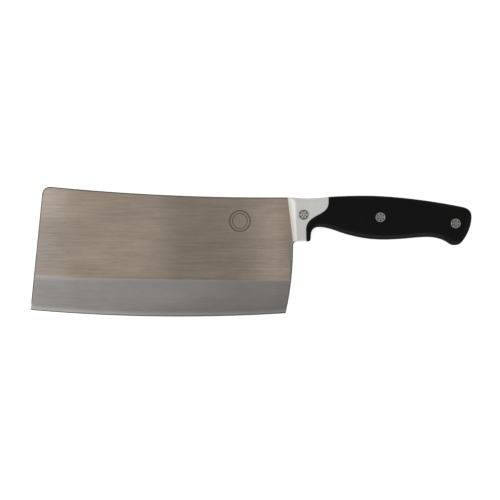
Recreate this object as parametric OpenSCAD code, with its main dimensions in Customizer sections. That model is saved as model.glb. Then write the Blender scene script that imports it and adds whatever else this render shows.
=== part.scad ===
// Meat cleaver with a full tang, pinned bolsters and pinned handle scales.
//
// It lies on its right side: +X runs along it to the butt of the handle, +Y points to the spine and
// +Z is the thickness, so the left side faces up.  It is drawn about the top of the line where blade
// and bolster meet, in the middle of the thickness, and then moved so that its box stands centred
// over the origin with its underside at z = 0.

/* [Blade] */
// Length from the spine end of the bolster to the lower front corner
blade_length = 180.6; // [140:0.5:220]
// Height from the spine at the bolster to the lowest point of the edge
blade_height = 83.4; // [70:0.2:110]
// Thickness of the steel
blade_thickness = 3; // [2.4:0.1:5]
// How far the front end leans back over its height
front_lean = 8.8; // [0:0.5:20]
// How far the spine sweeps up from the bolster to the front end
spine_sweep = 8; // [3:0.1:12]
// Straight length of the spine in front of the bolster, before the sweep starts
spine_straight = 14; // [5:1:60]
// Radius of the upper front corner
corner_radius = 5.5; // [1:0.5:15]
// Radius of the slightly curved cutting edge
belly_radius = 1180; // [600:10:2000]
// Distance of the lowest point of the edge in front of the bolster
belly_place = 76; // [60:1:110]
// How far the heel corner stands in front of the point below the bolster
heel_lean = 5.2; // [2:0.1:9]

/* [Edge grind] */
// Height of the wide bevel above the lowest point of the edge, at the front end
bevel_front_height = 27.6; // [20:0.2:32]
// Height of the wide bevel above the lowest point of the edge, at the heel
bevel_heel_height = 24.9; // [20:0.2:32]
// Slope of the wide bevel on each side, in degrees
bevel_angle = 2.35; // [1:0.05:2.6]
// Slope of the narrow cutting bevel on each side, in degrees
cutting_angle = 8; // [7:0.5:20]
// Thickness left at the very edge
edge_thickness = 0.16; // [0.1:0.02:0.4]
// Slope of the finger relief ground on the heel, in degrees
relief_angle = 20; // [10:1:30]
// Width of the finger relief under the bolster
relief_width = 2.7; // [1:0.1:4]
// Width of the finger relief at its lower end
relief_end_width = 0.9; // [0.4:0.1:2]

/* [Handle] */
// Length from the front of the bolster to the butt
handle_length = 127.8; // [110:0.2:150]
// Height of the bolster at its lower end
bolster_height = 30.9; // [26:0.1:36]
// Thickness over both scales
handle_thickness = 19; // [15:0.5:25]
// Depth of the seat ground into each side of the tang for bolsters and scales
seat_depth = 0.1; // [0.05:0.05:0.3]
// How far the rounding of the handle's long edges reaches through the thickness
round_depth = 5.5; // [3:0.5:6]
// Height above the tang seat at which the bolster's rounded front starts
shoulder_start = 1.6; // [0.5:0.1:3]
// Length over which the bolster's front rounds up to full thickness, at the spine
shoulder_length = 5.7; // [3:0.1:7]
// The same length at the bolster's lower end
shoulder_foot_length = 2.7; // [1.5:0.1:6]

/* [Pins] */
// Outside diameter of a mosaic pin
pin_d = 6.6; // [5:0.1:8]
// Wall of the pin's tube
pin_wall = 0.6; // [0.3:0.1:1]
// Gap that the filler takes between the seven rods inside
rod_gap = 0.15; // [0.05:0.05:0.3]
// Fineness of round parts
round_fn = 48; // [24:4:96]

/* [Hidden] */

steel_color = [0.52, 0.50, 0.47];
bolster_color = [0.78, 0.78, 0.76];
scale_color = [0.09, 0.09, 0.09];
tube_color = [0.62, 0.62, 0.60];
rod_color = [0.55, 0.54, 0.50];
resin_color = [0.16, 0.16, 0.15];

half_blade = blade_thickness / 2;
half_tang = half_blade - seat_depth;
half_handle = handle_thickness / 2;
through = handle_thickness + 2;
curve_steps = 9;

// the handle's outline is drawn for a handle of this length and bolster height, then stretched
drawn_length = 127.8;
drawn_height = 30.9;
stretch_x = handle_length / drawn_length;
stretch_y = bolster_height / drawn_height;

// ends of the line where blade and bolster meet, which leans back from the spine
seat_head = [-0.6, 0];
seat_foot = [3.1 * stretch_x, -bolster_height];

// place on that line, or on its run-on, at a share of its length
function seat_point(share) = seat_head + (seat_foot - seat_head) * share;

notch_radius = 2.7;
heel_top = [6 * stretch_x - notch_radius, -bolster_height - notch_radius];
heel_foot_x = heel_top[0] - heel_lean;
front_x = -blade_length;

// ---- curves ----

function bezier_point(c, t) =
    pow(1 - t, 3) * c[0] + 3 * t * pow(1 - t, 2) * c[1] + 3 * t * t * (1 - t) * c[2] + pow(t, 3) * c[3];

// points along one curve, without its last point, which the next curve starts with
function bezier(c) = [for (i = [0 : curve_steps - 1]) bezier_point(c, i / curve_steps)];

function arc(center, r, from, to, steps) =
    [for (i = [0 : steps]) let (a = from + (to - from) * i / steps) center + r * [cos(a), sin(a)]];

function unit(v) = v / norm(v);

// the quarter or so of a circle that rounds corner k between points a and b
function rounded(a, k, b, r, steps) =
    let (
        u = unit(a - k),
        v = unit(b - k),
        half = acos(u * v) / 2,
        start = k + u * r / tan(half),
        middle = k + unit(u + v) * r / sin(half),
        turn = cross(start - middle, k - middle) > 0 ? 180 - 2 * half : 2 * half - 180,
        from = atan2(start[1] - middle[1], start[0] - middle[0])
    )
    arc(middle, r, from, from + turn, steps);

// ---- outlines ----

// Outline of bolster and scales, from the flat at the top of the bolster round the butt to its foot.
// The third value is how far the rounded edge reaches inwards there.
top_curves = [
    [[4.5, 0, 3], [8, -0.95, 3], [17, -0.75, 3], [28, 0.38, 3.4]],
    [[28, 0.38, 3.4], [37, 0.9, 4], [48, 1.45, 4.5], [60, 1.05, 4.5]],
    [[60, 1.05, 4.5], [78, 0.45, 4.5], [103, -2.75, 4.5], [121.8, -6.8, 4.5]],
    [[121.8, -6.8, 4.5], [125.3, -7.55, 4.5], [127.8, -9.5, 4.2], [127.8, -13.4, 4.2]],
];
lower_curves = [
    [[127.8, -13.4, 4.2], [127.9, -19.5, 4.2], [125, -26.5, 4.2], [121, -31.2, 4.2]],
    [[121, -31.2, 4.2], [118.8, -33.8, 4.2], [115.3, -34.1, 4.2], [112.6, -32.4, 4.2]],
    [[112.6, -32.4, 4.2], [109.6, -30.1, 4.4], [105, -27.7, 4.5], [97, -27.7, 4.5]],
    [[97, -27.7, 4.5], [88, -27.7, 4.5], [75, -30.3, 4.5], [60, -29.3, 4.5]],
    [[60, -29.3, 4.5], [52, -28.77, 4.5], [42, -26.6, 4.2], [33.6, -23.4, 4]],
    [[33.6, -23.4, 4], [29.5, -21.9, 3.8], [25.5, -20.8, 3.5], [21.5, -20.7, 3]],
    [[21.5, -20.7, 3], [18.3, -20.6, 2.2], [15.9, -22.5, 1.3], [15.7, -26, 1]],
    [[15.7, -26, 1], [15.45, -28.6, 1], [15.9, -30.9, 1], [13.6, -30.9, 1]],
];

function stretched(p) = [p[0] * stretch_x, p[1] * stretch_y, p[2]];

handle_line = [for (c = concat(top_curves, lower_curves)) for (p = bezier(c)) stretched(p)];
handle_foot = stretched([13.6, -drawn_height, 1]);

// top and bottom of the handle's outline run on past the bolster's front, where they are cut off
run_on = 8;
handle_blank = concat([[-run_on, 0, 3]], handle_line, [handle_foot, [-run_on, -bolster_height, 1]]);

tang_line = concat([[0, 0]], [for (p = concat(handle_line, [handle_foot])) [p[0], p[1]]]);

// Seam between bolster and scale, from above the handle to below it.
seam_curves = [
    [[27.7, 3], [27.7, 0], [27.8, -2], [27.8, -3.5]],
    [[27.8, -3.5], [27.8, -8.2], [24.8, -10.2], [20, -12.7]],
    [[20, -12.7], [15.2, -15.2], [12.2, -17.8], [12.2, -22.5]],
    [[12.2, -22.5], [12.2, -25], [12.3, -28], [12.5, -33]],
];
seam_line = [for (c = seam_curves) for (p = concat(bezier(c), [c[3]])) [p[0] * stretch_x, p[1] * stretch_y]];

// height of the cutting edge at a place x
function belly_y(x) =
    belly_radius - blade_height - sqrt(pow(belly_radius, 2) - pow(x + belly_place, 2));

spine_reach = blade_length - front_lean - spine_straight;
spine_radius = (pow(spine_reach, 2) + pow(spine_sweep, 2)) / (2 * spine_sweep);
function spine_y(x) =
    x > -spine_straight ? 0 : spine_radius - sqrt(pow(spine_radius, 2) - pow(x + spine_straight, 2));

front_foot = [front_x, belly_y(front_x)];
front_head = [front_x + front_lean, spine_y(front_x + front_lean)];
spine_next = front_head + [20, -20 * spine_reach / spine_radius];

heel_foot = [heel_foot_x, belly_y(heel_foot_x)];
heel_drop = heel_top[1] - heel_foot[1];
heel_radius = (pow(heel_drop, 2) + pow(heel_lean, 2)) / (2 * heel_lean);

blade_outline = concat(
    tang_line,
    arc([heel_top[0] + notch_radius, heel_top[1]], notch_radius, 90, 180, 6),
    arc([heel_top[0] - heel_radius, heel_top[1]], heel_radius, -1, -asin(heel_drop / heel_radius), 10),
    [for (i = [1 : 24]) let (x = heel_foot[0] + (front_x - heel_foot[0]) * i / 24) [x, belly_y(x)]],
    rounded(front_foot, front_head, spine_next, corner_radius, 8),
    [for (i = [1 : 16])
        let (x = front_head[0] + corner_radius + (spine_reach - corner_radius) * i / 16) [x, spine_y(x)]]
);

center_x = (handle_length - blade_length) / 2;
center_y = (max([for (p = blade_outline) p[1]]) - blade_height) / 2;

// everything behind the line where blade and bolster meet
behind_seat = [
    seat_point(-1.5), seat_point(1.5), [handle_length * 2, -blade_height], [handle_length * 2, blade_height],
];

// ---- shared shapes ----

module place() {
    translate([-center_x, -center_y, half_handle]) children();
}

// the same on the other side of the blade
module both_sides() {
    children();
    mirror([0, 0, 1]) children();
}

pin_places = [for (p = [[10.5, -12.2], [63.9, -14], [116.3, -18.3]]) [p[0] * stretch_x, p[1] * stretch_y]];

module at_pin(i) {
    translate([pin_places[i][0], pin_places[i][1], 0]) children();
}

module pin_bore(i) {
    at_pin(i) cylinder(h = through, d = pin_d, center = true, $fn = round_fn);
}

// ---- blade ----

module wide_bevel() {
    line_front = bevel_front_height - blade_height;
    line_heel = bevel_heel_height - blade_height;
    tilt = atan2(line_heel - line_front, blade_length);
    translate([front_x, line_front, half_blade])
        rotate([0, 0, tilt]) rotate([bevel_angle, 0, 0]) translate([-20, -60, 0])
            cube([blade_length + 40, 60, 10]);
}

// ring sector whose sloping underside leaves the cutting bevel
module cutting_bevel() {
    reach = 9;
    rise = tan(cutting_angle);
    half_edge = edge_thickness / 2;
    sweep_from = -90 - asin((blade_length - belly_place + 10) / belly_radius);
    sweep_to = -90 + asin((belly_place + 10) / belly_radius);
    translate([-belly_place, belly_radius - blade_height, 0]) rotate([0, 0, sweep_from])
        rotate_extrude(angle = sweep_to - sweep_from, $fn = 720)
            polygon([
                [belly_radius + 1, half_edge - rise],
                [belly_radius + 1, 4],
                [belly_radius - reach, 4],
                [belly_radius - reach, half_edge + rise * reach],
            ]);
}

// slope on the heel where the forefinger rests
module finger_relief() {
    run = 20;
    top = [heel_top[0] - relief_width, -bolster_height];
    low = [heel_top[0] - pow(run, 2) / (2 * heel_radius) - relief_end_width, heel_top[1] - run];
    lean = atan2(top[0] - low[0], top[1] - low[1]);
    translate([top[0], top[1], half_blade]) rotate([0, 0, -lean]) rotate([0, relief_angle, 0])
        translate([0, -3 * run, 0]) cube([12, 3 * run, 6]);
}

module blade() {
    color(steel_color) place() difference() {
        linear_extrude(height = blade_thickness, center = true) polygon(blade_outline);
        both_sides() {
            wide_bevel();
            cutting_bevel();
            finger_relief();
            translate([0, 0, half_tang]) linear_extrude(height = 2) polygon(behind_seat);
        }
        for (i = [0 : 2]) pin_bore(i);
    }
}

// ---- handle ----

// levels of the rounded side: height above the middle and share of the inward reach
round_steps = 5;
levels = concat(
    [[0, 0]],
    [for (i = [0 : round_steps]) let (a = 90 * i / round_steps)
        [half_handle - round_depth * (1 - sin(a)), 1 - cos(a)]],
    [[half_handle + 1, 1]]
);

// inward direction at point i of the handle's outline
function inward(i) =
    let (
        n = len(handle_blank),
        before = handle_blank[(i + n - 1) % n],
        after = handle_blank[(i + 1) % n],
        along = unit([after[0] - before[0], after[1] - before[1]])
    )
    [along[1], -along[0]];

// one side of the handle, bolster and scale in one, with rounded long edges
module handle_side() {
    n = len(handle_blank);
    last = len(levels) - 1;
    points = [for (level = levels) for (i = [0 : n - 1])
        let (p = handle_blank[i], q = [p[0], p[1]] + inward(i) * p[2] * level[1]) [q[0], q[1], level[0]]];
    walls = [for (k = [0 : last - 1]) for (i = [0 : n - 1])
        let (j = (i + 1) % n, a = k * n + i, b = k * n + j, c = (k + 1) * n + j, d = (k + 1) * n + i)
            each [[a, b, c], [a, c, d]]];
    ends = [[for (i = [0 : n - 1]) n - 1 - i], [for (i = [0 : n - 1]) last * n + i]];
    polyhedron(points, concat(walls, ends), convexity = 8);
}

// room between the tang seat and the handle's flat side
module side_layer() {
    translate([-blade_length, -blade_height, half_tang])
        cube([blade_length + handle_length + 20, 2 * blade_height, half_handle - half_tang]);
}

// cuts the bolster's front to a round that is longer at the spine than at its lower end
module shoulder_cut() {
    steps = 8;
    count = steps + 4;
    start = half_tang + shoulder_start;
    points = [for (share = [-0.15, 1.15]) let (
        p = seat_point(share),
        length = shoulder_length + (shoulder_foot_length - shoulder_length) * share
    ) each concat(
        [for (i = [0 : steps]) let (a = 90 * i / steps)
            [p[0] + length * (1 - cos(a)), p[1], start + (half_handle - start) * sin(a)]],
        [[p[0] + length, p[1], half_handle + 2], [-20, p[1], half_handle + 2], [-20, p[1], start]]
    )];
    walls = [for (i = [0 : count - 1]) let (j = (i + 1) % count)
        each [[j, i, count + i], [j, count + i, count + j]]];
    ends = [[for (i = [0 : count - 1]) i], [for (i = [0 : count - 1]) 2 * count - 1 - i]];
    polyhedron(points, concat(walls, ends), convexity = 4);
}

bolster_region = concat([seat_point(1.3), seat_point(-0.3)], seam_line);
scale_region = concat(seam_line, [[handle_length + 20, -60], [handle_length + 20, 20]]);

module bolster_side() {
    difference() {
        intersection() {
            handle_side();
            side_layer();
            linear_extrude(height = through) polygon(bolster_region);
        }
        shoulder_cut();
        pin_bore(0);
    }
}

module scale_side() {
    difference() {
        intersection() {
            handle_side();
            side_layer();
            linear_extrude(height = through) polygon(scale_region);
        }
        pin_bore(1);
        pin_bore(2);
    }
}

module bolster_left() {
    color(bolster_color) place() bolster_side();
}

module bolster_right() {
    color(bolster_color) place() mirror([0, 0, 1]) bolster_side();
}

module scale_left() {
    color(scale_color) place() scale_side();
}

module scale_right() {
    color(scale_color) place() mirror([0, 0, 1]) scale_side();
}

// ---- mosaic pins ----

pin_bore_d = pin_d - 2 * pin_wall;
rod_d = (pin_bore_d - 4 * rod_gap) / 3;
rod_ring = rod_d + rod_gap;

module pin_tube(i) {
    color(tube_color) place() at_pin(i) difference() {
        cylinder(h = handle_thickness, d = pin_d, center = true, $fn = round_fn);
        cylinder(h = through, d = pin_bore_d, center = true, $fn = round_fn);
    }
}

module rods(length) {
    cylinder(h = length, d = rod_d, center = true, $fn = round_fn / 2);
    for (k = [0 : 5]) rotate([0, 0, 60 * k]) translate([rod_ring, 0, 0])
        cylinder(h = length, d = rod_d, center = true, $fn = round_fn / 2);
}

module pin_rods(i) {
    color(rod_color) place() at_pin(i) rods(handle_thickness);
}

module pin_resin(i) {
    color(resin_color) place() at_pin(i) difference() {
        cylinder(h = handle_thickness, d = pin_bore_d, center = true, $fn = round_fn);
        rods(through);
    }
}

blade();
bolster_left();
bolster_right();
scale_left();
scale_right();
pin_tube(0);  // bolster_pin_tube
pin_rods(0);  // bolster_pin_rods
pin_resin(0);  // bolster_pin_resin
pin_tube(1);  // middle_pin_tube
pin_rods(1);  // middle_pin_rods
pin_resin(1);  // middle_pin_resin
pin_tube(2);  // rear_pin_tube
pin_rods(2);  // rear_pin_rods
pin_resin(2);  // rear_pin_resin
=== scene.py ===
"""Meat cleaver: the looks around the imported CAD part.

Shapes are drawn in millimetres about the same point as the CAD drawing: the top of the line where
blade and bolster meet, in the middle of the thickness. Each piece is one closed mesh, whose two
faces follow a height worked out at every vertex.
"""

import math

import bpy
import numpy as np
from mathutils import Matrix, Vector
from mathutils.geometry import delaunay_2d_cdt


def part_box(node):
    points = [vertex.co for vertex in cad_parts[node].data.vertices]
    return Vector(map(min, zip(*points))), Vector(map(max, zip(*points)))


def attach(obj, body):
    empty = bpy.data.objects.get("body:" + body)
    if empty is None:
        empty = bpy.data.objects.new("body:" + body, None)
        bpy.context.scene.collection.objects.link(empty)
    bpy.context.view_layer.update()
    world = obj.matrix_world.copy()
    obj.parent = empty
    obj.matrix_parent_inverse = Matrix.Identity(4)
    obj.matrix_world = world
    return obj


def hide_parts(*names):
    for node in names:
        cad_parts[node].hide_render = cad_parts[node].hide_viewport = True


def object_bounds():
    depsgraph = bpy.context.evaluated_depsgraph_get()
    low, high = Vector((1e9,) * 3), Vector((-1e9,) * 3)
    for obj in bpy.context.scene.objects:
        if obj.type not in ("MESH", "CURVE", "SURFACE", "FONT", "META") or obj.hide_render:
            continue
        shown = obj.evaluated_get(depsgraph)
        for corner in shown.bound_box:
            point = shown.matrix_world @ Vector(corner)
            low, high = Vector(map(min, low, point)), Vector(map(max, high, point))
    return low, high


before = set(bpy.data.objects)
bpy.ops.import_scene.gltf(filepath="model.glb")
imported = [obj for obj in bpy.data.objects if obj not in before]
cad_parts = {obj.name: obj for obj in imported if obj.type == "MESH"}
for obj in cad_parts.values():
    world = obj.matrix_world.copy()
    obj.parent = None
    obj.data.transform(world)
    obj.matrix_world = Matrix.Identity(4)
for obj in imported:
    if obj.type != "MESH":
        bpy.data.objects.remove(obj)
cad_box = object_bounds()

MM = 0.001

# ---- the frame's sizes, in millimetres ----

PIN_PLACES = {"bolster": (10.5, -12.2), "middle": (63.9, -14.0), "rear": (116.3, -18.3)}


def box_mm(node):
    low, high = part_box(node)
    return np.array(low) / MM, np.array(high) / MM


pin_low, pin_high = box_mm("bolster_pin_tube")
blade_low, blade_high = box_mm("blade")
scale_low, scale_high = box_mm("scale_left")

DATUM = (pin_low + pin_high) / 2 - np.array([*PIN_PLACES["bolster"], 0])
PIN_RADIUS = (pin_high[0] - pin_low[0]) / 2
HALF_BLADE = (blade_high[2] - blade_low[2]) / 2
HALF_TANG = scale_low[2] - DATUM[2]
HALF_HANDLE = scale_high[2] - DATUM[2]
FRONT_X = blade_low[0] - DATUM[0]
EDGE_Y = blade_low[1] - DATUM[1]

# ---- the drawing ----

# Curves of the handle's outline. The third value is how far the rounded edge reaches inwards.
HANDLE_CURVES = [
    [[-0.6, 0, 3], [1.1, 0, 3], [2.8, 0, 3], [4.5, 0, 3]],
    [[4.5, 0, 3], [8, -0.95, 3], [17, -0.75, 3], [28, 0.38, 3.4]],
    [[28, 0.38, 3.4], [37, 0.9, 4], [48, 1.45, 4.5], [60, 1.05, 4.5]],
    [[60, 1.05, 4.5], [78, 0.45, 4.5], [103, -2.75, 4.5], [121.8, -6.8, 4.5]],
    [[121.8, -6.8, 4.5], [125.3, -7.55, 4.5], [127.8, -9.5, 4.2], [127.8, -13.4, 4.2]],
    [[127.8, -13.4, 4.2], [127.9, -19.5, 4.2], [125, -26.5, 4.2], [121, -31.2, 4.2]],
    [[121, -31.2, 4.2], [118.8, -33.8, 4.2], [115.3, -34.1, 4.2], [112.6, -32.4, 4.2]],
    [[112.6, -32.4, 4.2], [109.6, -30.1, 4.4], [105, -27.7, 4.5], [97, -27.7, 4.5]],
    [[97, -27.7, 4.5], [88, -27.7, 4.5], [75, -30.3, 4.5], [60, -29.3, 4.5]],
    [[60, -29.3, 4.5], [52, -28.77, 4.5], [42, -26.6, 4.2], [33.6, -23.4, 4]],
    [[33.6, -23.4, 4], [29.5, -21.9, 3.8], [25.5, -20.8, 3.5], [21.5, -20.7, 3]],
    [[21.5, -20.7, 3], [18.3, -20.6, 2.2], [15.9, -22.5, 1.3], [15.7, -26, 1]],
    [[15.7, -26, 1], [15.45, -28.6, 1], [15.9, -30.9, 1], [13.6, -30.9, 1]],
    [[13.6, -30.9, 1], [11, -30.9, 1], [8.5, -30.9, 1], [6, -30.9, 1]],
]
# Seam between bolster and scale, from above the handle to below it.
SEAM_CURVES = [
    [[27.7, 3], [27.7, 0], [27.8, -2], [27.8, -3.5]],
    [[27.8, -3.5], [27.8, -8.2], [24.8, -10.2], [20, -12.7]],
    [[20, -12.7], [15.2, -15.2], [12.2, -17.8], [12.2, -22.5]],
    [[12.2, -22.5], [12.2, -25], [12.3, -28], [12.5, -33]],
]
# Where the seam cuts the handle's outline.
SEAM_HEAD_X = 27.8
SEAM_FOOT_X = 12.45
FOOT_Y = -30.9
# Line where blade and bolster meet, and how long the bolster's front takes to round up there.
SEAT_HEAD = np.array([-0.6, 0.0])
SEAT_FOOT = np.array([3.1, FOOT_Y])
SHOULDER_LENGTHS = (5.7, 2.7)
SHOULDER_START = 1.6
ROUND_DEPTH = 5.5

# The blade's outline, from the notch behind the heel to the spine.
NOTCH_END_X = 6.0
NOTCH_RADIUS = 2.7
HEEL_TOP = np.array([NOTCH_END_X - NOTCH_RADIUS, FOOT_Y - NOTCH_RADIUS])
HEEL_LEAN = 5.2
BELLY_RADIUS = 1180.0
BELLY_CENTRE = np.array([-76.0, EDGE_Y + BELLY_RADIUS])
SPINE_STRAIGHT = 14.0
SPINE_SWEEP = 8.0
FRONT_LEAN = 8.8
CORNER_RADIUS = 5.5

# The grinds. A drop says how far a rounded edge lies below the flat.
BEVEL_FRONT = np.array([FRONT_X, EDGE_Y + 27.6])
BEVEL_HEEL = np.array([0.0, EDGE_Y + 24.9])
BEVEL_SLOPE = math.tan(math.radians(2.35))
CUTTING_SLOPE = math.tan(math.radians(8))
HALF_EDGE = 0.08
RELIEF_SLOPE = math.tan(math.radians(20))
RELIEF_WIDTH = 2.7
RELIEF_END_WIDTH = 0.9
RELIEF_LENGTH = 20.0
RELIEF_LINE = 0.3
EDGE_ROUND = 0.75
EDGE_DROP = 0.5
HEEL_ROUND = 0.7

# Centre of the etched mark, and radius and half line width of its two rings.
MARK_CENTRE = (-34.0, -16.5)
MARK_RINGS = ((7.2, 0.42), (5.2, 0.25))


def bezier(curve, step):
    """Points about step apart along one curve, without its last point."""
    c = np.array(curve, float)
    count = max(2, int(np.linalg.norm(np.diff(c[:, :2], axis=0), axis=1).sum() / step))
    t = (np.arange(count) / count)[:, None]
    return (1 - t) ** 3 * c[0] + 3 * t * (1 - t) ** 2 * c[1] + 3 * t * t * (1 - t) * c[2] + t**3 * c[3]


def path(curves, step):
    """Points about step apart along joined curves."""
    return np.vstack([bezier(c, step) for c in curves] + [[curves[-1][-1]]])


def arc(centre, radius, start, end, count):
    a = np.radians(np.linspace(start, end, count + 1))
    return np.asarray(centre) + radius * np.column_stack([np.cos(a), np.sin(a)])


def unit(v):
    return v / np.linalg.norm(v)


def rounded(before, corner, after, radius, count):
    """The arc that rounds a corner between two straight sides."""
    u, v = unit(before - corner), unit(after - corner)
    half = math.acos(u @ v) / 2
    centre = corner + unit(u + v) * radius / math.sin(half)
    start = corner + u * radius / math.tan(half)
    end = corner + v * radius / math.tan(half)
    a = math.degrees(math.atan2(*(start - centre)[::-1]))
    turn = (math.degrees(math.atan2(*(end - centre)[::-1])) - a + 180) % 360 - 180
    return arc(centre, radius, a, a + turn, count)


def belly_y(x):
    """Height of the cutting edge."""
    return BELLY_CENTRE[1] - np.sqrt(BELLY_RADIUS**2 - (x - BELLY_CENTRE[0]) ** 2)


SPINE_REACH = -FRONT_X - FRONT_LEAN - SPINE_STRAIGHT
SPINE_RADIUS = (SPINE_REACH**2 + SPINE_SWEEP**2) / (2 * SPINE_SWEEP)


def spine_y(x):
    """Height of the spine, which is straight near the bolster and swept beyond."""
    return SPINE_RADIUS - np.sqrt(SPINE_RADIUS**2 - np.minimum(x + SPINE_STRAIGHT, 0) ** 2)


handle_line = path(HANDLE_CURVES, 0.7)
seam_line = path(SEAM_CURVES, 0.4)

heel_foot = np.array([HEEL_TOP[0] - HEEL_LEAN, belly_y(HEEL_TOP[0] - HEEL_LEAN)])
heel_drop = HEEL_TOP[1] - heel_foot[1]
heel_radius = (heel_drop**2 + HEEL_LEAN**2) / (2 * HEEL_LEAN)
front_foot = np.array([FRONT_X, belly_y(FRONT_X)])
front_head = np.array([FRONT_X + FRONT_LEAN, spine_y(FRONT_X + FRONT_LEAN)])
spine_next = front_head + np.array([20, -20 * SPINE_REACH / SPINE_RADIUS])

notch_line = arc(HEEL_TOP + [NOTCH_RADIUS, 0], NOTCH_RADIUS, 90, 180, 16)[1:]
heel_end = -math.degrees(math.asin(heel_drop / heel_radius))
heel_line = arc(HEEL_TOP - [heel_radius, 0], heel_radius, 0, heel_end, 40)[1:]
belly_x = np.linspace(heel_foot[0], FRONT_X, 90)[1:]
belly_line = np.column_stack([belly_x, belly_y(belly_x)])
corner_line = rounded(front_foot, front_head, spine_next, CORNER_RADIUS, 28)
spine_x = np.linspace(corner_line[-1, 0], SEAT_HEAD[0], 80)[1:-1]
spine_line = np.column_stack([spine_x, spine_y(spine_x)])
front_line = np.linspace(front_foot, corner_line[0], 60)[1:-1]
blade_rim = np.vstack([front_foot[None], front_line, corner_line, spine_line, SEAT_HEAD[None]])

heel_rim = np.vstack([[[NOTCH_END_X, FOOT_Y]], notch_line, heel_line])
blade_loop = np.vstack([handle_line[:, :2], heel_rim[1:], belly_line, blade_rim[1:-1]])

# ---- measuring in the plane ----

BATCH = 2000


def nearest(points, line):
    """How far each point is from a polyline, and the line's third value there, if it has one."""
    a, b = line[:-1], line[1:]
    side = b[:, :2] - a[:, :2]
    length = (side**2).sum(1)
    best = np.full(len(points), 1e9)
    value = np.zeros(len(points))
    for k in range(0, len(points), BATCH):
        p = points[k : k + BATCH, None]
        t = np.clip(((p - a[None, :, :2]) * side).sum(2) / length, 0, 1)
        far = np.linalg.norm(p - a[None, :, :2] - t[..., None] * side, axis=2)
        i = far.argmin(1)
        rows = np.arange(len(i))
        best[k : k + BATCH] = far[rows, i]
        if line.shape[1] > 2:
            value[k : k + BATCH] = a[i, 2] + (b[i, 2] - a[i, 2]) * t[rows, i]
    return best, value


def inside(points, loop):
    """Which points lie inside a closed outline."""
    x, y = points[:, 0], points[:, 1]
    hit = np.zeros(len(points), bool)
    for (x1, y1), (x2, y2) in zip(loop, np.roll(loop, -1, 0)):
        if y1 != y2:
            hit ^= ((y1 > y) != (y2 > y)) & (x < (x2 - x1) * (y - y1) / (y2 - y1) + x1)
    return hit


def offset(line, distance):
    """The polyline moved sideways, to the right of its direction."""
    along = np.gradient(line[:, :2], axis=0)
    along /= np.linalg.norm(along, axis=1)[:, None]
    return line[:, :2] + distance * np.column_stack([along[:, 1], -along[:, 0]])


def circle(centre, radius, count):
    return arc(centre, radius, 0, 360, count)[:-1]


# ---- mesh making ----

SHARP_ANGLE = math.radians(38)
# How far the grain map leans up the walls, and its units per metre.
GRAIN_LEAN = 0.2
GRAIN_SCALE = 3


def triangulate(loop, holes, lines, points):
    """Triangles of the area inside loop and outside holes, with edges along lines."""
    coords, edges = [], []

    def add(line, closed):
        start = len(coords)
        coords.extend(Vector((float(x), float(y))) for x, y in line)
        last = len(coords) - 1
        edges.extend((i, i + 1) for i in range(start, last))
        if closed:
            edges.append((last, start))

    add(loop, True)
    for hole in holes:
        add(hole, True)
    for line in lines:
        add(line, False)
    coords.extend(Vector((float(x), float(y))) for x, y in points)
    made = delaunay_2d_cdt(coords, edges, [], 0, 1e-5)
    flat = np.array([[v.x, v.y] for v in made[0]])
    faces = np.array([f for f in made[2]])
    middle = flat[faces].mean(1)
    keep = inside(middle, loop)
    for hole in holes:
        keep &= ~inside(middle, hole)
    faces = faces[keep]
    used, where = np.unique(faces, return_inverse=True)
    return flat[used], where.reshape(-1, 3)


def rim_walls(faces, count):
    """Quads that join the triangles' rim to its copy, whose vertices are numbered count higher."""
    directed = np.vstack([faces[:, [0, 1]], faces[:, [1, 2]], faces[:, [2, 0]]])
    sides = np.sort(directed, axis=1)
    key = sides[:, 0] * count + sides[:, 1]
    _, first, times = np.unique(key, return_index=True, return_counts=True)
    rim = directed[first[times == 1]]
    return np.column_stack([rim[:, 1], rim[:, 0], rim[:, 0] + count, rim[:, 1] + count])


def slab(name, flat, faces, top, bottom, metals, region=None, metal_of=(0,)):
    """A closed mesh between two heights over the same triangles.

    region numbers each triangle, metal_of gives each region's material, and the last material is
    for the walls. Shading is smooth inside a region and sharp where two meet.
    """
    count = len(flat)
    verts = np.vstack([np.column_stack([flat, top]), np.column_stack([flat, bottom])])
    walls = rim_walls(faces, count)
    under = faces[:, ::-1] + count
    mesh = bpy.data.meshes.new(name)
    every = [list(map(int, f)) for group in (faces, under, walls) for f in group]
    mesh.from_pydata((verts + DATUM) * MM, [], every)
    for metal in metals:
        mesh.materials.append(metal)
    region = np.zeros(len(faces), int) if region is None else region
    wall = np.full(len(walls), len(metals) - 1)
    kinds = np.concatenate([np.take(metal_of, region)] * 2 + [wall])
    mesh.polygons.foreach_set("material_index", kinds.astype(np.int32))
    mesh.polygons.foreach_set("use_smooth", np.full(len(kinds), True))
    grain_map(mesh)
    mesh.set_sharp_from_angle(angle=SHARP_ANGLE)
    sharpen(mesh, np.concatenate([region, region, np.full(len(walls), -1)]))
    piece = bpy.data.objects.new(name, mesh)
    bpy.context.scene.collection.objects.link(piece)
    return piece


def sharpen(mesh, region):
    """Edges between two regions become sharp."""
    start = np.zeros(len(mesh.polygons), np.int32)
    mesh.polygons.foreach_get("loop_start", start)
    edge = np.zeros(len(mesh.loops), np.int32)
    mesh.loops.foreach_get("edge_index", edge)
    owner = np.repeat(region, np.diff(np.append(start, len(mesh.loops))))
    low = np.full(len(mesh.edges), 99)
    high = np.full(len(mesh.edges), -99)
    np.minimum.at(low, edge, owner)
    np.maximum.at(high, edge, owner)
    marks = mesh.attributes.get("sharp_edge") or mesh.attributes.new("sharp_edge", "BOOLEAN", "EDGE")
    sharp = np.zeros(len(mesh.edges), bool)
    marks.data.foreach_get("value", sharp)
    marks.data.foreach_set("value", sharp | (low != high))


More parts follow.
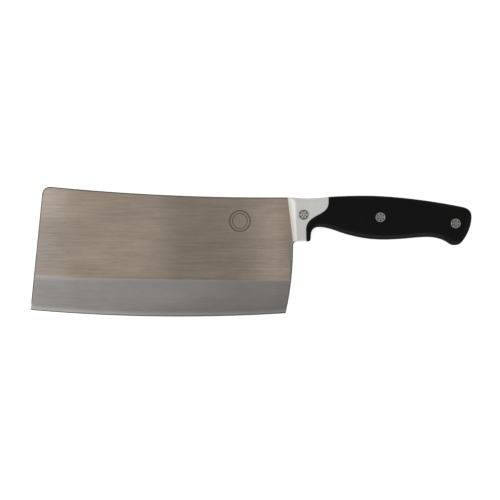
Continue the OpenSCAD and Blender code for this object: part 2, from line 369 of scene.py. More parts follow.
def grain_map(mesh):
    """A UV map that runs along X, which the brushed materials take their grain direction from."""
    uv = mesh.uv_layers.new(name="grain")
    index = np.zeros(len(mesh.loops), np.int32)
    mesh.loops.foreach_get("vertex_index", index)
    co = np.zeros(len(mesh.vertices) * 3)
    mesh.vertices.foreach_get("co", co)
    co = co.reshape(-1, 3)[index]
    flat = np.column_stack([co[:, 0], co[:, 1] + co[:, 2] * GRAIN_LEAN]) * GRAIN_SCALE
    uv.data.foreach_set("uv", flat.ravel())


def place(piece, node):
    """Puts a piece on the root body and hides the CAD node that it stands for."""
    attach(piece, "root")
    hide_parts(node)


# ---- materials ----


class Nodes:
    """A short way to write a node material."""

    def __init__(self, name):
        self.material = bpy.data.materials.new(name)
        self.material.use_nodes = True
        self.tree = self.material.node_tree
        self.shader = self.tree.nodes["Principled BSDF"]
        self.where = self.add("ShaderNodeTexCoord").outputs["Object"]

    def add(self, kind, inputs=None, **settings):
        node = self.tree.nodes.new(kind)
        for key, value in settings.items():
            setattr(node, key, value)
        for key, value in (inputs or {}).items():
            self.feed(node.inputs[key], value)
        return node

    def feed(self, socket, value):
        if isinstance(value, bpy.types.NodeSocket):
            self.tree.links.new(value, socket)
        else:
            socket.default_value = value

    def stretched(self, scale):
        return self.add("ShaderNodeMapping", {"Vector": self.where, "Scale": scale}).outputs["Vector"]

    def noise(self, scale, detail=3.0, roughness=0.55, at=(1, 1, 1)):
        vector = self.stretched(at)
        node = self.add(
            "ShaderNodeTexNoise",
            {"Vector": vector, "Scale": scale, "Detail": detail, "Roughness": roughness},
        )
        return node.outputs["Fac"]

    def spread(self, value, low, high, start=0.0, end=1.0):
        """A value that goes from start to end as the given one goes from low to high."""
        node = self.add(
            "ShaderNodeMapRange",
            {"Value": value, "From Min": low, "From Max": high, "To Min": start, "To Max": end},
        )
        return node.outputs["Result"]

    def math(self, operation, a, b=0.0):
        return self.add("ShaderNodeMath", {0: a, 1: b}, operation=operation).outputs[0]

    def product(self, value, *others):
        for other in others:
            value = self.math("MULTIPLY", value, other)
        return value

    def total(self, value, *others):
        for other in others:
            value = self.math("ADD", value, other)
        return value

    def mix(self, factor, a, b, blend="MIX"):
        node = self.add("ShaderNodeMix", data_type="RGBA", blend_type=blend)
        self.feed(node.inputs["Factor"], factor)
        self.feed(node.inputs["A"], a)
        self.feed(node.inputs["B"], b)
        return node.outputs["Result"]

    def bump(self, height, strength, distance):
        node = self.add("ShaderNodeBump", {"Height": height, "Strength": strength, "Distance": distance})
        return node.outputs["Normal"]

    def shade(self, **sockets):
        """Sets or links the shader's sockets, named with _ for a space."""
        for key, value in sockets.items():
            self.feed(self.shader.inputs[key.replace("_", " ")], value)

    def along(self, axis, low, high, start, end):
        """A value that changes evenly with one object coordinate, given in drawing millimetres."""
        split = self.add("ShaderNodeSeparateXYZ", {"Vector": self.where})
        datum = DATUM["XYZ".index(axis)]
        return self.spread(split.outputs[axis], (low + datum) * MM, (high + datum) * MM, start, end)

    def from_centre(self, centre):
        """Distance in the plane from a point of the drawing, in metres."""
        flat = self.add("ShaderNodeVectorMath", {0: self.where, 1: (1, 1, 0)}, operation="MULTIPLY")
        middle = tuple((np.array(centre) + DATUM[:2]) * MM) + (0,)
        ends = {0: flat.outputs["Vector"], 1: middle}
        return self.add("ShaderNodeVectorMath", ends, operation="DISTANCE").outputs["Value"]

    def past(self, start, end):
        """How far a point lies to the right of a line between two points of the drawing, in metres."""
        along = unit(end - start)
        ends = {0: self.where, 1: tuple((start + DATUM[:2]) * MM) + (0,)}
        moved = self.add("ShaderNodeVectorMath", ends, operation="SUBTRACT").outputs["Vector"]
        sides = {0: moved, 1: (along[1], -along[0], 0)}
        return self.add("ShaderNodeVectorMath", sides, operation="DOT_PRODUCT").outputs["Value"]

    def above_edge(self):
        """Height over the blade's curved edge, in metres."""
        return self.math("SUBTRACT", BELLY_RADIUS * MM, self.from_centre(BELLY_CENTRE))

    def grain(self, turn):
        """Stretches reflections along the grain map, turned by a share of a circle."""
        tangent = self.add("ShaderNodeTangent", direction_type="UV_MAP", uv_map="grain").outputs[0]
        self.feed(self.shader.inputs["Tangent"], tangent)
        self.shader.inputs["Anisotropic Rotation"].default_value = turn


def color(r, g, b):
    return (r, g, b, 1.0)


def brushed(name, dark, light, roughness, streak=1.0, bump=0.25, clouds=0.3, anisotropic=0.8, tint=None):
    """Steel brushed along X: long fine scratches and a slow cloudiness.

    tint makes a grey or a colour from the nodes, which the steel's own is multiplied with. The blade's
    tints paint highlights and shade into the colour, and the flat's also carries the etched mark.
    """
    n = Nodes(name)
    fine = n.noise(2200, 3, 0.65, at=(0.06, 1, 1))
    broad = n.noise(1400, 3, 0.6, at=(0.022, 1, 1))
    cloud = n.spread(n.noise(34, 5, 0.65, at=(0.7, 1.5, 1.5)), 0.3, 0.7)
    lines = n.total(n.product(fine, 0.45), n.product(broad, 0.55))
    lines = n.spread(lines, 0.5 - 0.17 / streak, 0.5 + 0.17 / streak)
    tone = n.total(n.product(lines, 1 - clouds), n.product(cloud, clouds))
    steel = n.mix(tone, dark, light)
    n.shade(
        Base_Color=n.mix(1.0, steel, tint(n), "MULTIPLY") if tint else steel,
        Metallic=1.0,
        Roughness=n.spread(tone, 0, 1, roughness + 0.03, roughness - 0.03),
        Anisotropic=anisotropic,
        Normal=n.bump(lines, bump, 0.00002),
    )
    n.grain(0.25)
    return n.material


def etched_rings(n):
    """Two plain rings on the left side, worn in places: dark on their lines and 1 elsewhere."""
    radius = n.from_centre(MARK_CENTRE)
    clear = 1.0
    for ring, width in MARK_RINGS:
        off_line = n.math("ABSOLUTE", n.math("SUBTRACT", radius, ring * MM))
        clear = n.product(n.spread(off_line, width * MM, (width + 0.12) * MM), clear)
    worn = n.spread(n.noise(900, 2, 0.5), 0.3, 0.6, 0.0, 0.25)
    far_side = n.along("Z", -0.2, 0.2, 1, 0)
    clear = n.math("MAXIMUM", clear, n.math("MAXIMUM", worn, far_side))
    return n.spread(clear, 0, 1, 0.36, 1.0)


def flat_mark_and_painted_light(n):
    """The flat bears the etched mark, with painted light over it: paler and cooler at the front, a painted
    reflection, a painted highlight in its upper front corner, and painted shade beside the bolster.

    Along the bevel line a painted highlight at the front turns to painted shade further back.
    """
    # painted highlight in the flat's upper front corner
    corner = n.product(n.along("X", -168, -138, 0.24, 0), n.along("Y", -18, -4, 0, 1))
    # painted highlight along the bevel line at the front, painted shade further back
    off_ridge = n.math("ABSOLUTE", n.total(n.past(BEVEL_FRONT, BEVEL_HEEL), 0.9 * MM))
    ridge_painted_light = n.product(n.spread(off_ridge, 0.3 * MM, 1.1 * MM, 1, 0), n.along("X", -165, -122, 0.28, -0.13))
    ridge_painted_light = n.product(ridge_painted_light, n.along("X", -60, -35, 1, 0))
    # painted shade beside the bolster
    painted_shade = n.along("X", -9, 1, 1.0, 0.84)
    grey = n.product(etched_rings(n), painted_shade, n.total(1.0, corner, ridge_painted_light))
    # paler and cooler at the front: a painted reflection
    painted_front_reflection = n.mix(n.along("X", -173, -150, 1, 0), color(1, 1, 1), color(1.01, 1.045, 1.16))
    return n.mix(1.0, painted_front_reflection, grey, "MULTIPLY")


def bevel_painted_light(n):
    """Painted light on the bevel: a painted highlight along its line, and painted shade that darkens it
    towards the heel and, there, towards the edge.
    """
    # painted highlight along the bevel line
    ridge_painted_light = n.spread(n.past(BEVEL_FRONT, BEVEL_HEEL), 0.3 * MM, 2.4 * MM, 1, 0)
    ridge_painted_light = n.product(ridge_painted_light, n.along("X", -170, -60, 0.22, 0.09))
    # painted shade towards the edge, on the half nearer the heel
    low = n.spread(n.above_edge(), 4 * MM, 14 * MM, 0.15, 0)
    low = n.product(low, n.along("X", -150, -95, 0, 1))
    # painted shade that darkens the bevel towards the heel
    painted_shade_to_heel = n.along("X", -160, -6, 1.09, 0.80)
    return n.product(painted_shade_to_heel, n.total(1.0, ridge_painted_light), n.math("SUBTRACT", 1.0, low))


def edge_painted_light(n):
    """Painted light on the cutting bevel: a painted highlight that grows down to the edge, and painted
    shade on the very edge, over the bevel's own painted light.
    """
    # painted highlight growing towards the edge
    painted_edge_highlight = n.spread(n.above_edge(), 1.0 * MM, 3.9 * MM, 0.51, 0)
    # painted shade on the very edge
    dark = n.spread(n.above_edge(), 0.55 * MM, 0.95 * MM, 0.32, 1)
    return n.product(bevel_painted_light(n), n.total(1.0, painted_edge_highlight), dark)


def blade_flat():
    return brushed(
        "blade_flat",
        color(0.379, 0.314, 0.248),
        color(0.641, 0.538, 0.432),
        roughness=0.15,
        bump=0.2,
        clouds=0.45,
        anisotropic=1.0,
        tint=flat_mark_and_painted_light,
    )


def wide_bevel():
    return brushed(
        "wide_bevel",
        color(0.365, 0.341, 0.326),
        color(0.570, 0.534, 0.516),
        roughness=0.32,
        streak=0.7,
        bump=0.12,
        clouds=0.5,
        anisotropic=0.4,
        tint=bevel_painted_light,
    )


def cutting_bevel():
    return brushed(
        "cutting_bevel",
        color(0.37, 0.36, 0.345),
        color(0.53, 0.515, 0.495),
        roughness=0.30,
        streak=0.7,
        bump=0.12,
        clouds=0.5,
        anisotropic=0.4,
        tint=edge_painted_light,
    )


def finger_relief():
    return brushed(
        "finger_relief",
        color(0.31, 0.30, 0.265),
        color(0.41, 0.395, 0.355),
        roughness=0.36,
        streak=0.8,
        bump=0.15,
        clouds=0.4,
        anisotropic=0.3,
    )


def plate_edge_painted_shade():
    """The blade's rounded rim, left rough, in a darker steel that paints the shade of a dark line along the
    rim, the heel and the relief's first line.
    """
    return brushed(
        "plate_edge_painted_shade",
        color(0.13, 0.13, 0.125),
        color(0.22, 0.22, 0.21),
        roughness=0.55,
        bump=0.3,
        clouds=0.4,
        anisotropic=0.2,
    )


def plate_side():
    """The plate's upright walls, which show along the spine and round the handle."""
    return brushed(
        "plate_side",
        color(0.40, 0.39, 0.37),
        color(0.52, 0.51, 0.49),
        roughness=0.38,
        bump=0.2,
        clouds=0.4,
        anisotropic=0.4,
    )


def satin_bolster():
    n = Nodes("satin_bolster")
    grain = n.noise(900, 3, 0.6, at=(1, 1, 1))
    brush = n.noise(160, 3, 0.6, at=(1, 0.12, 1))
    cloud = n.noise(70, 3, 0.5)
    tone = n.spread(n.total(n.product(brush, 0.5), n.product(cloud, 0.5)), 0.35, 0.65)
    n.shade(
        Base_Color=n.mix(tone, color(0.84, 0.845, 0.815), color(0.93, 0.935, 0.905)),
        Metallic=0.3,
        Roughness=n.spread(brush, 0.3, 0.7, 0.46, 0.56),
        Normal=n.bump(n.total(grain, brush), 0.12, 0.00002),
    )
    return n.material


def black_scale():
    n = Nodes("black_scale")
    fine = n.noise(2600, 2, 0.6)
    broad = n.spread(n.noise(45, 4, 0.55), 0.35, 0.7)
    scuffs = n.noise(120, 5, 0.7, at=(0.25, 1.6, 1))
    tone = n.mix(broad, color(0.0022, 0.0022, 0.0023), color(0.004, 0.0039, 0.004))
    worn = n.mix(n.spread(scuffs, 0.62, 0.85), tone, color(0.009, 0.009, 0.0095))
    n.shade(
        Base_Color=worn,
        Roughness=n.spread(scuffs, 0.3, 0.75, 0.34, 0.46),
        Specular_IOR_Level=0.16,
        Normal=n.bump(fine, 0.18, 0.00003),
    )
    return n.material


def pin_joint_and_shade():
    """The dark line between bolster and pin: a dark joint, with painted shade on the bolster's broken edge
    round the pin.
    """
    n = Nodes("pin_joint_and_shade")
    speck = n.noise(1800, 3, 0.6)
    tone = n.spread(speck, 0.35, 0.65)
    n.shade(
        Base_Color=n.mix(tone, color(0.13, 0.135, 0.125), color(0.26, 0.265, 0.25)),
        Metallic=0.3,
        Roughness=n.spread(speck, 0.3, 0.7, 0.5, 0.65),
        Normal=n.bump(speck, 0.2, 0.00002),
    )
    return n.material


def pin_metal(name, shine, roughness):
    """Turned steel. A shine above 1 makes it paler."""
    dark, light = (color(tone, tone, 0.96 * tone) for tone in (0.34 * shine, 0.48 * shine))
    n = Nodes(name)
    turned = n.noise(900, 3, 0.6, at=(1, 0.2, 1))
    cloud = n.noise(380, 2, 0.5)
    tone = n.total(n.product(turned, 0.5), n.product(cloud, 0.5))
    n.shade(
        Base_Color=n.mix(n.spread(tone, 0.35, 0.65), dark, light),
        Metallic=0.9,
        Roughness=n.spread(turned, 0.3, 0.7, roughness, roughness + 0.12),
        Normal=n.bump(turned, 0.15, 0.00002),
    )
    return n.material


def pin_filler():
    """The dark resin between a mosaic pin's rods."""
    n = Nodes("pin_filler")
    speck = n.noise(1500, 3, 0.6)
    tone = n.spread(speck, 0.4, 0.7)
    n.shade(
        Base_Color=n.mix(tone, color(0.006, 0.006, 0.006), color(0.025, 0.025, 0.024)),
        Roughness=n.spread(speck, 0.3, 0.7, 0.35, 0.5),
        Specular_IOR_Level=0.25,
        Normal=n.bump(speck, 0.2, 0.00002),
    )
    return n.material


def floor_material():
    n = Nodes("white_floor")
    n.shade(
        Base_Color=n.mix(n.noise(3, 2), color(0.93, 0.93, 0.93), color(0.95, 0.95, 0.95)),
        Roughness=0.7,
        Emission_Strength=0.75,
    )
    n.shader.inputs["Emission Color"].default_value = color(1, 1, 1)
    return n.material


# ---- blade ----


def rounding(distance, reach, depth):
    """How far an edge rounded as a quarter of an ellipse lies below the flat."""
    share = np.clip(1 - distance / reach, 0, 1)
    return depth * (1 - np.sqrt(1 - share**2))


def bevel_drop(p):
    """How far a point lies below the line where the wide bevel starts."""
    along = unit(BEVEL_HEEL - BEVEL_FRONT)
    return (p - BEVEL_FRONT) @ np.array([along[1], -along[0]])


def relief_ends():
    """Both ends of the line where the finger relief starts, on the flat."""
    low = HEEL_TOP - [RELIEF_LENGTH**2 / (2 * heel_radius) + RELIEF_END_WIDTH, RELIEF_LENGTH]
    return np.array([HEEL_TOP[0] - RELIEF_WIDTH, SEAT_FOOT[1]]), low


def relief_reach(p):
    """How far a point lies behind the line where the finger relief starts."""
    top, low = relief_ends()
    along = unit(top - low)
    return (p - low) @ np.array([along[1], -along[0]])


def seat_reach(p):
    """How far a point lies behind the line where blade and bolster meet."""
    along = unit(SEAT_HEAD - SEAT_FOOT)
    return (p - SEAT_FOOT) @ np.array([along[1], -along[0]])


def shoulder_length(p):
    """How long the bolster's front takes to round up at the height of each point."""
    share = np.clip((SEAT_HEAD[1] - p[:, 1]) / (SEAT_HEAD[1] - SEAT_FOOT[1]), 0, 1)
    return SHOULDER_LENGTHS[0] + (SHOULDER_LENGTHS[1] - SHOULDER_LENGTHS[0]) * share


# The blade's regions, in the order of its materials.
FLAT, WIDE, CUTTING, RELIEF, ROUNDED, TANG = range(6)
BORE_SIDES = 64


def blade_heights(p):
    """Half the thickness at each point, and the region of the blade that the point is in."""
    flat = np.full(len(p), HALF_BLADE)
    wide = HALF_BLADE - BEVEL_SLOPE * bevel_drop(p)
    belly = BELLY_RADIUS - np.linalg.norm(p - BELLY_CENTRE, axis=1)
    cutting = HALF_EDGE + CUTTING_SLOPE * np.maximum(belly, 0)
    by_finger = (p[:, 1] < SEAT_FOOT[1] + 0.01) & (p[:, 0] < HEEL_TOP[0] + 5)
    reach = relief_reach(p)
    relief = np.where(by_finger, HALF_BLADE - RELIEF_SLOPE * reach, HALF_BLADE)
    stack = np.column_stack([flat, wide, cutting, relief])
    region = stack.argmin(1)
    height = stack.min(1)
    rim, _ = nearest(p, blade_rim)
    height -= np.minimum(rounding(rim, EDGE_ROUND, EDGE_DROP), height * 0.4)
    # the rounded rim takes the rim steel, whose darker colour is painted shade
    region = np.where((rim < EDGE_ROUND) & (region < CUTTING), ROUNDED, region)
    heel, _ = nearest(p, heel_rim)
    height -= np.minimum(rounding(heel, HEEL_ROUND, EDGE_DROP), height * 0.4)
    # the heel and the relief's first line take the rounded rim's steel, with its painted shade
    painted_shade = (heel < HEEL_ROUND) | ((region == RELIEF) & (reach < RELIEF_LINE))
    region = np.where(painted_shade & (region != CUTTING), ROUNDED, region)
    tang = (seat_reach(p) > 0.01) & ((p[:, 1] > SEAT_FOOT[1] - 0.01) | (p[:, 0] > HEEL_TOP[0] + 5))
    return np.where(tang, HALF_TANG, height), np.where(tang, TANG, region)


def between(x, high, low):
    """Heights in the drawing where the two bevels meet, by halving."""
    for _ in range(40):
        mid = (high + low) / 2
        p = np.column_stack([x, mid])
        wide = HALF_BLADE - BEVEL_SLOPE * bevel_drop(p)
        cutting = HALF_EDGE + CUTTING_SLOPE * (BELLY_RADIUS - np.linalg.norm(p - BELLY_CENTRE, axis=1))
        high = np.where(cutting > wide, mid, high)
        low = np.where(cutting > wide, low, mid)
    return np.column_stack([x, mid])


def within_blade(line):
    return line[inside(line, blade_loop)]


def grind_lines():
    """Where the cutting bevel and the wide bevel start."""
    x = np.linspace(FRONT_X + 0.02, heel_foot[0] + 2, 90)
    cutting_top = between(x, belly_y(x) + 8, belly_y(x))
    bevel_top = BEVEL_FRONT + np.linspace(0, 1.05, 60)[:, None] * (BEVEL_HEEL - BEVEL_FRONT)
    return [within_blade(cutting_top), within_blade(bevel_top)]


def relief_lines():
    """Where the finger relief starts, with the step up to the bolster's foot."""
    top, low = relief_ends()
    relief = within_blade(low + np.linspace(-0.4, 1, 30)[:, None] * (top - low))
    foot = np.linspace(relief[-1], SEAT_FOOT, 8)[1:-1]
    return [relief, within_blade(offset(relief, RELIEF_LINE)), foot + [0, 0.02], foot - [0, 0.02]]


def seat_lines():
    """The step down from the blade to the tang."""
    seat = SEAT_HEAD + np.linspace(0.001, 0.999, 40)[:, None] * (SEAT_FOOT - SEAT_HEAD)
    return [seat, seat + [0.03, 0]]


def rounding_lines():
    """Lines that follow the blade's rim and heel inwards, where they turn over."""
    turned = [offset(blade_rim, EDGE_ROUND * share) for share in (0.06, 0.2, 0.42, 0.7, 1.0)]
    turned += [offset(heel_rim, HEEL_ROUND * share) for share in (0.1, 0.3, 0.6, 1.0)]
    return [within_blade(line) for line in turned]


def make_blade():
    holes = [circle(p, PIN_RADIUS, BORE_SIDES) for p in PIN_PLACES.values()]
    lines = grind_lines() + relief_lines() + seat_lines() + rounding_lines()
    flat, faces = triangulate(blade_loop, holes, lines, [])
    height, _ = blade_heights(flat)
    _, region = blade_heights(flat[faces].mean(1))
    metals = [blade_flat(), wide_bevel(), cutting_bevel(), finger_relief(), plate_edge_painted_shade(), plate_side()]
    piece = slab("blade_and_tang", flat, faces, height, -height, metals, region, range(6))
    place(piece, "blade")


# ---- bolsters and scales ----

SEAM_WIDTH = 0.9
SEAM_DROP = 0.42
PIN_BREAK = 0.3
# Shares of a rounding's reach, closest together at its start.
TURN_SHARES = 1 - np.cos(np.radians(np.linspace(0, 90, 15)[1:]))


def ramp(distance, reach, depth, power=1.5):
    """Like rounding, but sloping more evenly."""
    share = np.clip(1 - distance / reach, 0, 1)
    return depth * (1 - (1 - share**power) ** (1 / power))


def softly(a, b, width=0.5):
    """The larger of two drops, blended where they are alike."""
    h = np.clip(0.5 + (a - b) / (2 * width), 0, 1)
    return b + (a - b) * h + width * h * (1 - h)


def seam_drop(p):
    """How far the handle's face is broken along the seam."""
    distance, _ = nearest(p, seam_line)
    return rounding(distance, SEAM_WIDTH, SEAM_DROP)


def pin_distance(p):
    """How far each point is from the rim of the nearest pin."""
    to_centres = [np.linalg.norm(p - centre, axis=1) for centre in PIN_PLACES.values()]
    return np.min(to_centres, axis=0) - PIN_RADIUS


def pin_drop(p):
    """How far the handle's face is broken round the pins."""
    return rounding(pin_distance(p), PIN_BREAK, PIN_BREAK)


def handle_top(p, shoulder):
    """Height of the handle's face at each point. A shoulder is a bolster's rounded front."""
    distance, reach = nearest(p, handle_line)
    drop = rounding(distance, reach, ROUND_DEPTH)
    if shoulder:
        room = HALF_HANDLE - HALF_TANG - SHOULDER_START
        front = ramp(np.maximum(seat_reach(p), 0), shoulder_length(p), room)
        drop = np.minimum(softly(drop, front), room + 0.6)
    return HALF_HANDLE - softly(drop, seam_drop(p), 0.08) - pin_drop(p)


def edge_guides(loop):
    """Points on lines that follow the handle's outline inwards, where its edge turns over."""
    line = handle_line[:, :2]
    reach = handle_line[:, 2]
    inward = offset(handle_line, 1.0) - line
    found = []
    for share in TURN_SHARES:
        moved = line + inward * (reach * share)[:, None]
        distance, _ = nearest(moved, handle_line)
        good = inside(moved, loop) & (distance > reach * share * 0.96)
        found.append(moved[good])
    return np.vstack(found)


def away_from(points, lines, gap):
    """The points that are further than gap from every line."""
    keep = np.ones(len(points), bool)
    for line in lines:
        keep &= nearest(points, line)[0] > gap
    return points[keep]


def seam_guides(loop):
    """Points beside the seam, where the face is broken."""
    found = []
    for side in (-1, 1):
        for share in (0.04, 0.12, 0.25, 0.42, 0.62, 0.85, 1.0):
            moved = offset(seam_line, side * SEAM_WIDTH * share)
            found.append(moved[inside(moved, loop)])
    return np.vstack(found)


def split_outline():
    """The bolster's and the scale's outlines, which share the seam."""
    upper = handle_line[:, :2]
    head_at = int(np.argmax(upper[:, 0] > SEAM_HEAD_X))
    foot_at = int(len(upper) - 1 - np.argmax(upper[::-1, 0] > SEAM_FOOT_X))
    seam = seam_line[(seam_line[:, 1] < 0.3) & (seam_line[:, 1] > FOOT_Y + 0.05)]
    scale = np.vstack([upper[head_at : foot_at + 1], seam[::-1]])
    foot = np.linspace([SEAM_FOOT_X - 0.55, FOOT_Y], SEAT_FOOT, 12)
    front = np.linspace(SEAT_FOOT, SEAT_HEAD, 50)[1:-1]
    bolster = np.vstack([upper[: head_at - 1], seam, foot, front])
    return bolster, scale


def grid_guides(loop, step, gap):
    """A square grid of points away from the lines whose guides are closer together."""
    low, high = loop.min(0), loop.max(0)
    grid = np.stack(np.meshgrid(np.arange(low[0], high[0], step), np.arange(low[1], high[1], step)), -1)
    grid = grid.reshape(-1, 2)
    return away_from(grid[inside(grid, loop)], [handle_line, seam_line], gap)


def shoulder_guides(loop):
    """Points on lines that follow the seat backwards, where the bolster's front rounds up."""
    along = SEAT_HEAD + np.linspace(0, 1, 60)[:, None] * (SEAT_FOOT - SEAT_HEAD)
    reach = shoulder_length(along)[:, None] * [1, 0]
    rows = np.vstack([along + reach * share for share in TURN_SHARES])
    return rows[inside(rows, loop)]


def round_pin(points, centre):
    """The points with rows of their own round a pin, where the face is broken."""
    kept = points[np.linalg.norm(points - centre, axis=1) > PIN_RADIUS + PIN_BREAK + 0.15]
    rows = [circle(centre, PIN_RADIUS + PIN_BREAK * share, BORE_SIDES) for share in (0.1, 0.3, 0.6, 1.0)]
    return np.vstack([kept, *rows])


def side_points(loop, centres, shoulder):
    """Points inside one outline of the handle, closest together where the face curves."""
    guides = [edge_guides(loop), seam_guides(loop)]
    if shoulder:
        guides += [grid_guides(loop, 0.45, 0.3), shoulder_guides(loop)]
    else:
        guides += [grid_guides(loop, 1.6, 1.0)]
    closed = np.vstack([loop, loop[:1]])
    points = away_from(np.vstack(guides), [closed], 0.02)
    for centre in centres:
        points = round_pin(points, centre)
    return points


def make_side(kind, side, loop, pin_names, shoulder, metals):
    """One half of the bolster or one scale.

    Its metals are for the face, for the rings round the pins, which on the bolster carry painted shade, and
    for the walls, or one for all.
    """
    centres = [PIN_PLACES[name] for name in pin_names]
    holes = [circle(centre, PIN_RADIUS, BORE_SIDES) for centre in centres]
    flat, faces = triangulate(loop, holes, [], side_points(loop, centres, shoulder))
    outer = handle_top(flat, shoulder)
    inner = np.full(len(flat), HALF_TANG)
    heights = (outer, inner) if side == "left" else (-inner, -outer)
    by_pin = (pin_distance(flat[faces].mean(1)) < PIN_BREAK).astype(int)
    name = f"{kind}_{side}"
    piece = slab(f"{name}_side", flat, faces, *heights, metals, by_pin, (0, len(metals) // 2))
    place(piece, name)


def make_handle():
    bolster_loop, scale_loop = split_outline()
    satin, black = satin_bolster(), black_scale()
    bolster_metals = [satin, pin_joint_and_shade(), satin]
    for side in ("left", "right"):
        make_side("bolster", side, bolster_loop, ["bolster"], True, bolster_metals)
        make_side("scale", side, scale_loop, ["middle", "rear"], False, [black])


# ---- pins ----

TUBE_WALL = 0.6
TUBE_SIDES = 72
ROD_RADIUS = 0.8
ROD_SIDES = 24
ROD_RING = 1.75
PIN_SINK = 0.04
# How pale each pin's tube and rods are. The bolster's pin was polished together with the bolster.
PIN_SHINE = {"bolster": (1.15, 1.6), "middle": (1.3, 0.9), "rear": (1.3, 0.9)}


def tube_heights(radius):
    """Height of a tube's end, whose inner and outer rims are rounded."""
    edge = np.minimum(PIN_RADIUS - radius, radius - (PIN_RADIUS - TUBE_WALL))
    return HALF_HANDLE - PIN_SINK - 0.12 * (1 - np.clip(edge / 0.15, 0, 1)) ** 2


def make_tube(name, centre, metal):
    bore = PIN_RADIUS - TUBE_WALL
    outer, inner = (circle(centre, radius, TUBE_SIDES) for radius in (PIN_RADIUS, bore))
    rows = [circle(centre, bore + TUBE_WALL * share, TUBE_SIDES) for share in (0.12, 0.25, 0.5, 0.75, 0.88)]
    flat, faces = triangulate(outer, [inner], [], np.vstack(rows))
    top = tube_heights(np.linalg.norm(flat - centre, axis=1))
    place(slab(f"{name}_tube", flat, faces, top, -top, [metal]), f"{name}_pin_tube")


def rod_centres(centre):
    ring = circle(centre, ROD_RING, 6)
    return np.vstack([[centre], ring])


def rod_heights(share):
    """Height of a rod's slightly domed end, by the share of its radius."""
    rim = np.clip((share - 0.8) / 0.2, 0, 1)
    return HALF_HANDLE - PIN_SINK - 0.02 * share**2 - 0.06 * rim**2


def make_rods(name, centre, metal):
    flats, triangles, tops = [], [], []
    for middle in rod_centres(centre):
        rows = [circle(middle, ROD_RADIUS * share, ROD_SIDES) for share in (0.3, 0.6, 0.8, 0.93)]
        rim = circle(middle, ROD_RADIUS, ROD_SIDES)
        flat, faces = triangulate(rim, [], [], np.vstack([*rows, [middle]]))
        triangles.append(faces + sum(map(len, flats)))
        flats.append(flat)
        tops.append(rod_heights(np.linalg.norm(flat - middle, axis=1) / ROD_RADIUS))
    flat, faces, top = np.vstack(flats), np.vstack(triangles), np.concatenate(tops)
    place(slab(f"{name}_rods", flat, faces, top, -top, [metal]), f"{name}_pin_rods")


def make_filler(name, centre, filler):
    outer = circle(centre, PIN_RADIUS - TUBE_WALL, TUBE_SIDES)
    holes = [circle(middle, ROD_RADIUS, ROD_SIDES) for middle in rod_centres(centre)]
    flat, faces = triangulate(outer, holes, [], [])
    top = np.full(len(flat), HALF_HANDLE - PIN_SINK - 0.1)
    place(slab(f"{name}_filler", flat, faces, top, -top, [filler]), f"{name}_pin_resin")


def make_pins():
    filler = pin_filler()
    for name, pin_place in PIN_PLACES.items():
        centre = np.array(pin_place)
        tube_shine, rod_shine = PIN_SHINE[name]
        make_tube(name, centre, pin_metal(f"{name}_tube_metal", tube_shine, 0.3))
        make_rods(name, centre, pin_metal(f"{name}_rod_metal", rod_shine, 0.35))
        make_filler(name, centre, filler)


# ---- studio ----

FLOOR_REACH = 6.0
# Steps of the world's grey, from straight down to straight up.
WORLD_STEPS = [(0.0, 0.25), (0.48, 0.22), (0.56, 0.34), (0.80, 0.50), (0.94, 0.42), (0.985, 0.37)]
CAMERA_HEIGHT = 1.6
PICTURE_WIDTH = 0.35


def make_floor():
    mesh = bpy.data.meshes.new("floor")
    ground = cad_box[0].z - 0.4 * MM
    corners = [(x * FLOOR_REACH, y * FLOOR_REACH, ground) for x, y in ((-1, -1), (1, -1), (1, 1), (-1, 1))]
    mesh.from_pydata(corners, [], [(0, 1, 2, 3)])
    mesh.materials.append(floor_material())
    floor = bpy.data.objects.new("floor", mesh)
    floor.visible_glossy = False
    bpy.context.scene.collection.objects.link(floor)


def softbox(name, location, target, width, height, radiance, tint=(1, 1, 1)):
    """A rectangular lamp that shines at target."""
    data = bpy.data.lights.new(name, "AREA")
    data.shape = "RECTANGLE"
    data.size = width
    data.size_y = height
    data.energy = radiance * math.pi * width * height
    data.color = tint
    lamp = bpy.data.objects.new(name, data)
    lamp.location = location
    lamp.rotation_euler = (Vector(target) - Vector(location)).to_track_quat("-Z", "Y").to_euler()
    lamp.visible_camera = False
    bpy.context.scene.collection.objects.link(lamp)


def overhead(name, x_from, x_to, height, radiance, tint=(1, 1, 1)):
    """A softbox above the table that the flat of the blade mirrors."""
    middle = (x_from + x_to) / 2
    softbox(name, (middle, 0, height), (middle, 0, 0), x_to - x_from, 1.1, radiance, tint)


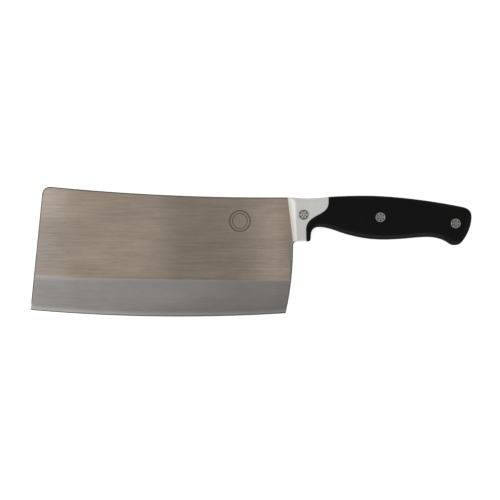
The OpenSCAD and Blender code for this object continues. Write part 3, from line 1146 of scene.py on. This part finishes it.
def make_world():
    """Grey surroundings, brightest some way above the horizon."""
    world = bpy.data.worlds.new("studio")
    world.use_nodes = True
    tree = world.node_tree
    where = tree.nodes.new("ShaderNodeTexCoord").outputs["Generated"]
    split = tree.nodes.new("ShaderNodeSeparateXYZ")
    tree.links.new(where, split.inputs[0])
    share = tree.nodes.new("ShaderNodeMapRange")
    share.inputs["From Min"].default_value = -1
    tree.links.new(split.outputs["Z"], share.inputs["Value"])
    ramp = tree.nodes.new("ShaderNodeValToRGB")
    tree.links.new(share.outputs["Result"], ramp.inputs["Fac"])
    while len(ramp.color_ramp.elements) < len(WORLD_STEPS):
        ramp.color_ramp.elements.new(0.5)
    for element, (position, grey) in zip(ramp.color_ramp.elements, WORLD_STEPS):
        element.position = position
        element.color = color(grey, grey, grey)
    tree.links.new(ramp.outputs["Color"], tree.nodes["Background"].inputs["Color"])
    bpy.context.scene.world = world


def make_studio():
    make_floor()
    make_world()
    overhead("overhead_far_left", -0.75, -0.205, 1.0, 0.28)
    overhead("overhead_left", -0.2, -0.096, 1.0, 0.185)
    overhead("overhead_right", 0.013, 0.08, 1.7, 0.24)
    softbox("left", (-1.1, 0.05, 0.45), (0.03, 0, 0), 0.6, 1.2, 2.0, (1, 0.96, 0.91))
    softbox("right", (1.2, -0.2, 0.9), (0, 0, 0), 0.5, 0.5, 1.0)
    softbox("front", (0.15, -1.0, 0.12), (0.05, 0, 0), 1.2, 0.2, 3.6)


def make_camera():
    """Straight above the cleaver."""
    centre = (cad_box[0] + cad_box[1]) / 2
    data = bpy.data.cameras.new("camera")
    data.sensor_width = 36
    data.lens = data.sensor_width * CAMERA_HEIGHT / PICTURE_WIDTH
    camera = bpy.data.objects.new("camera", data)
    camera.location = (centre.x - 0.5 * MM, centre.y + 1.2 * MM, centre.z + CAMERA_HEIGHT)
    bpy.context.scene.collection.objects.link(camera)
    bpy.context.scene.camera = camera
    bpy.context.scene.view_settings.view_transform = "Standard"


make_studio()
make_camera()
make_blade()
make_handle()
make_pins()
